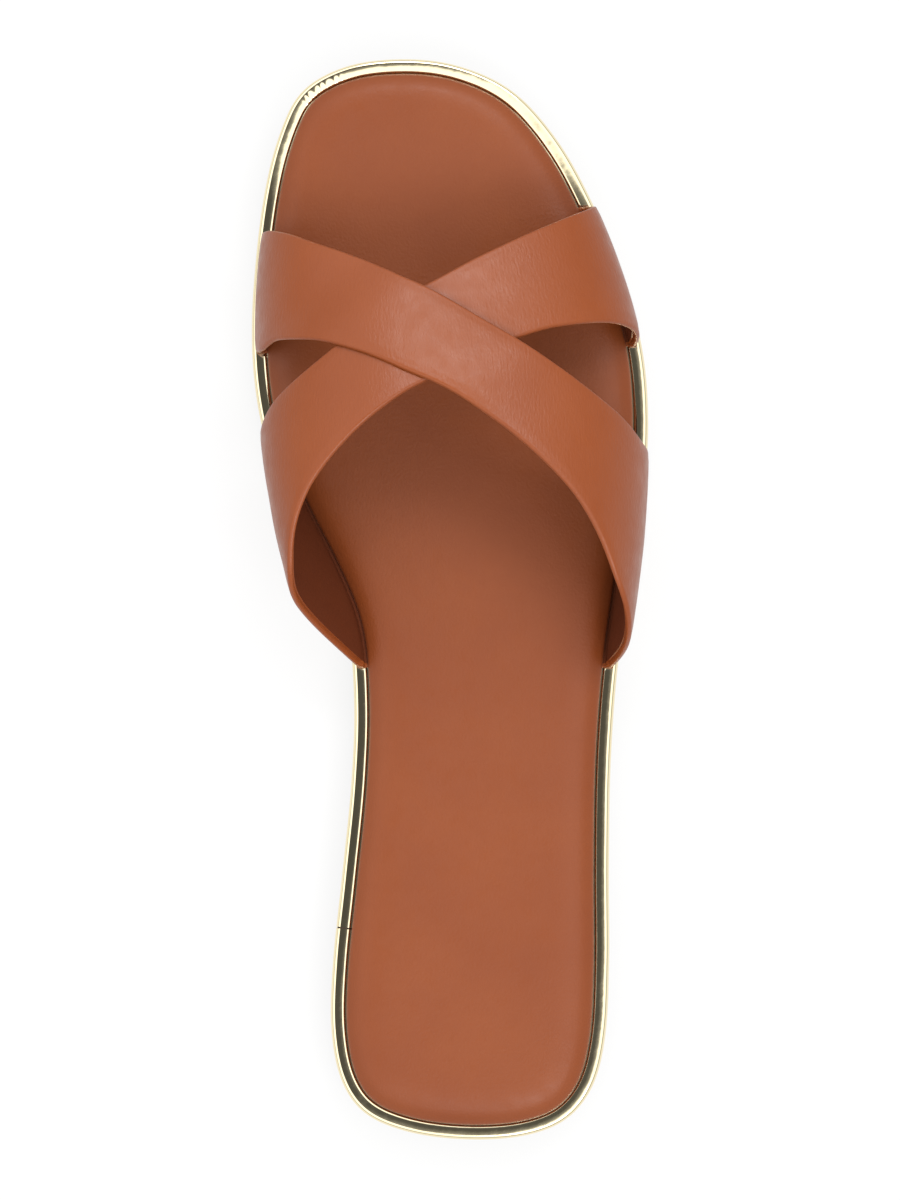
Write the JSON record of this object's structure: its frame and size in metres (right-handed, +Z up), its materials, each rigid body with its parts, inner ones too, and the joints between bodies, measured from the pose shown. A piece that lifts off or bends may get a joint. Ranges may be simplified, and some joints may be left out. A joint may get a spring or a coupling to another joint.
{
  "type": "cross strap slide sandal",
  "caption": "Women's flat slide sandal, right foot: tan straps cross over the ball, padded tan insole, gold rim round the sole, low heel.",
  "frame": {"origin": "on the floor, below the middle of the sole's length and width", "axes": "+Y to the toe, +X to the outer side of the right foot, +Z up"},
  "size_m": [0.094, 0.255, 0.0561],
  "materials": {
    "outsole": "matt moulded rubber, dark brown",
    "midsole": "closed cell foam, brown",
    "rand": "mirror gold, metallised",
    "insole": "smooth tan, soft sheen",
    "upper": "smooth tan, soft sheen"
  },
  "bodies": {
    "root": {"outsole": "outsole", "midsole": "midsole", "rand": "rand", "insole": "insole", "upper": "upper"}
  },
  "joints": []
}
